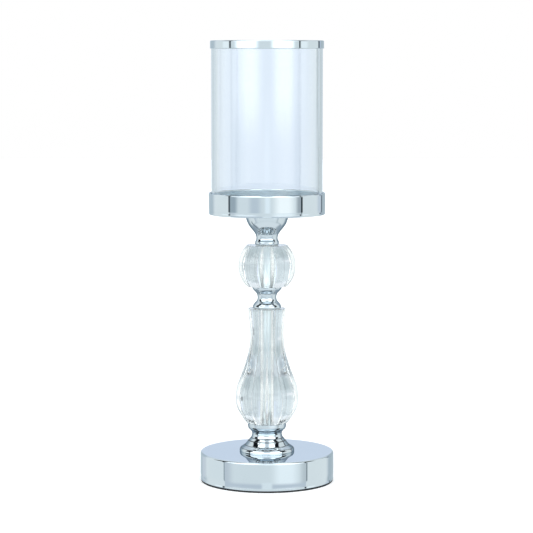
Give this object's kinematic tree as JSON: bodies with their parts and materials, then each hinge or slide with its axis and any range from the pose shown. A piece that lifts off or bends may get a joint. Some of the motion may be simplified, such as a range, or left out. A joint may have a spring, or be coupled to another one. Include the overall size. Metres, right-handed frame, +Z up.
{
  "type": "hurricane candle lantern",
  "caption": "Tall candle lantern: open glass cylinder with a metal rim in a shallow tray, on a stem of crystal and turned chrome over a round weighted base.",
  "frame": {"origin": "centre of the pad's underside, on the surface that the lantern stands on", "axes": "+Z up along the lantern's axis; the lantern is round, so +X and +Y are any two level directions, set by the lobes of the crystals"},
  "size_m": [0.121, 0.121, 0.3984],
  "materials": {
    "chrome": "bright chrome plate over pressed and turned steel",
    "steel": "zinc-plated fasteners and threaded rod",
    "iron": "rough black casting",
    "foam": "matt black closed-cell foam pad",
    "clear_plastic": "soft clear plastic washer",
    "crystal": "polished clear crystal with shallow lobes",
    "glass": "clear blown cylinder with a faint blue cast"
  },
  "bodies": {
    "stand": {"base_pad": "foam", "base_cover": "chrome", "base_weight": "iron", "base_washer": "steel", "base_lock_washer": "steel", "base_nut": "steel", "tie_rod": "steel", "foot_spindle": "chrome", "column_cup": "chrome", "column_lower_gasket": "clear_plastic", "column_tube": "chrome", "crystal_column": "crystal", "column_upper_gasket": "clear_plastic", "spool": "chrome", "ball_lower_gasket": "clear_plastic", "ball_tube": "chrome", "crystal_ball": "crystal", "ball_upper_gasket": "clear_plastic", "bell": "chrome", "tray_nut": "steel", "tray": "chrome"},
    "chimney": {"glass_chimney": "glass", "chimney_rim": "chrome"}
  },
  "joints": [
    {"name": "chimney_lift", "type": "slide", "parent": "stand", "child": "chimney", "axis": [0, 0, 1], "range_m": [0, 0.16]}
  ]
}
